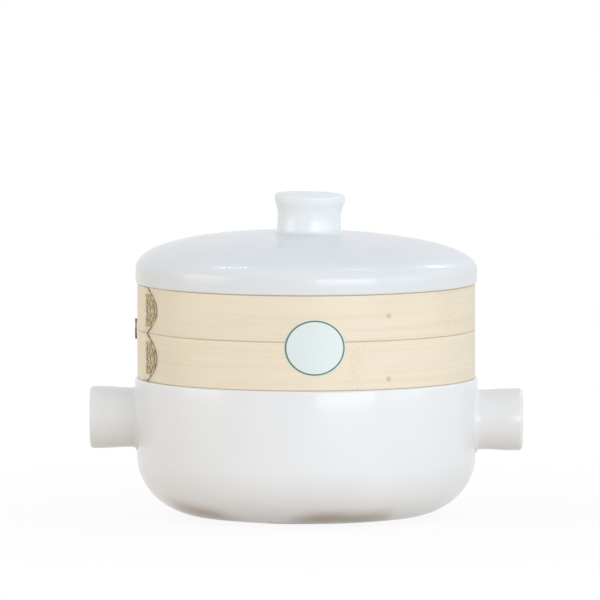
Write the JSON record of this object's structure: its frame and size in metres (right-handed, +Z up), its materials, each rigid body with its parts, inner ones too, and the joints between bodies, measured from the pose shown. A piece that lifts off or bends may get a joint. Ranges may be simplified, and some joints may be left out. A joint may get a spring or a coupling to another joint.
{
  "type": "donabe with steamer",
  "caption": "Round white glazed clay pot with stub handles, a laced bamboo steamer tier seated in its rim and a domed lid with a flared knob.",
  "frame": {"origin": "middle of the pot's foot, on the surface that it stands on", "axes": "+Z up along the axis that pot, steamer and lid share, X through the two handles, the front faces -Y"},
  "size_m": [0.303, 0.24, 0.2265],
  "materials": {
    "white_glaze": "glossy white glaze on stoneware",
    "bamboo_rind": "pale shaved bamboo, satin",
    "bamboo_inner": "split bamboo, matte",
    "bamboo_pin": "darker bamboo peg",
    "cane_lacing": "split cane strip",
    "dark_cane": "dark cane tie",
    "label_paper": "blank pale label with a green ring"
  },
  "bodies": {
    "pot": {"pot": "white_glaze"},
    "steamer": {"lower_hoop": "bamboo_rind", "upper_hoop": "bamboo_rind", "liner_hoop": "bamboo_inner", "slat_ring": "bamboo_inner", "keeper_hoop": "bamboo_inner", "slat_01": "bamboo_inner", "slat_02": "bamboo_inner", "slat_03": "bamboo_inner", "slat_04": "bamboo_inner", "slat_05": "bamboo_inner", "slat_06": "bamboo_inner", "slat_07": "bamboo_inner", "slat_08": "bamboo_inner", "slat_09": "bamboo_inner", "slat_10": "bamboo_inner", "slat_11": "bamboo_inner", "slat_12": "bamboo_inner", "slat_13": "bamboo_inner", "batten_1": "bamboo_inner", "batten_2": "bamboo_inner", "upper_pin_1": "bamboo_pin", "upper_pin_2": "bamboo_pin", "upper_pin_3": "bamboo_pin", "upper_pin_4": "bamboo_pin", "lower_pin_1": "bamboo_pin", "lower_pin_2": "bamboo_pin", "lower_pin_3": "bamboo_pin", "lower_pin_4": "bamboo_pin", "upper_lacing": "cane_lacing", "lower_lacing": "cane_lacing", "seam_tie": "dark_cane", "label": "label_paper"},
    "lid": {"lid": "white_glaze"}
  },
  "joints": [
    {"name": "steamer_lift", "type": "slide", "parent": "pot", "child": "steamer", "axis": [0, 0, 1], "range_m": [0, 0.12]},
    {"name": "lid_lift", "type": "slide", "parent": "steamer", "child": "lid", "axis": [0, 0, 1], "range_m": [0, 0.12]}
  ]
}
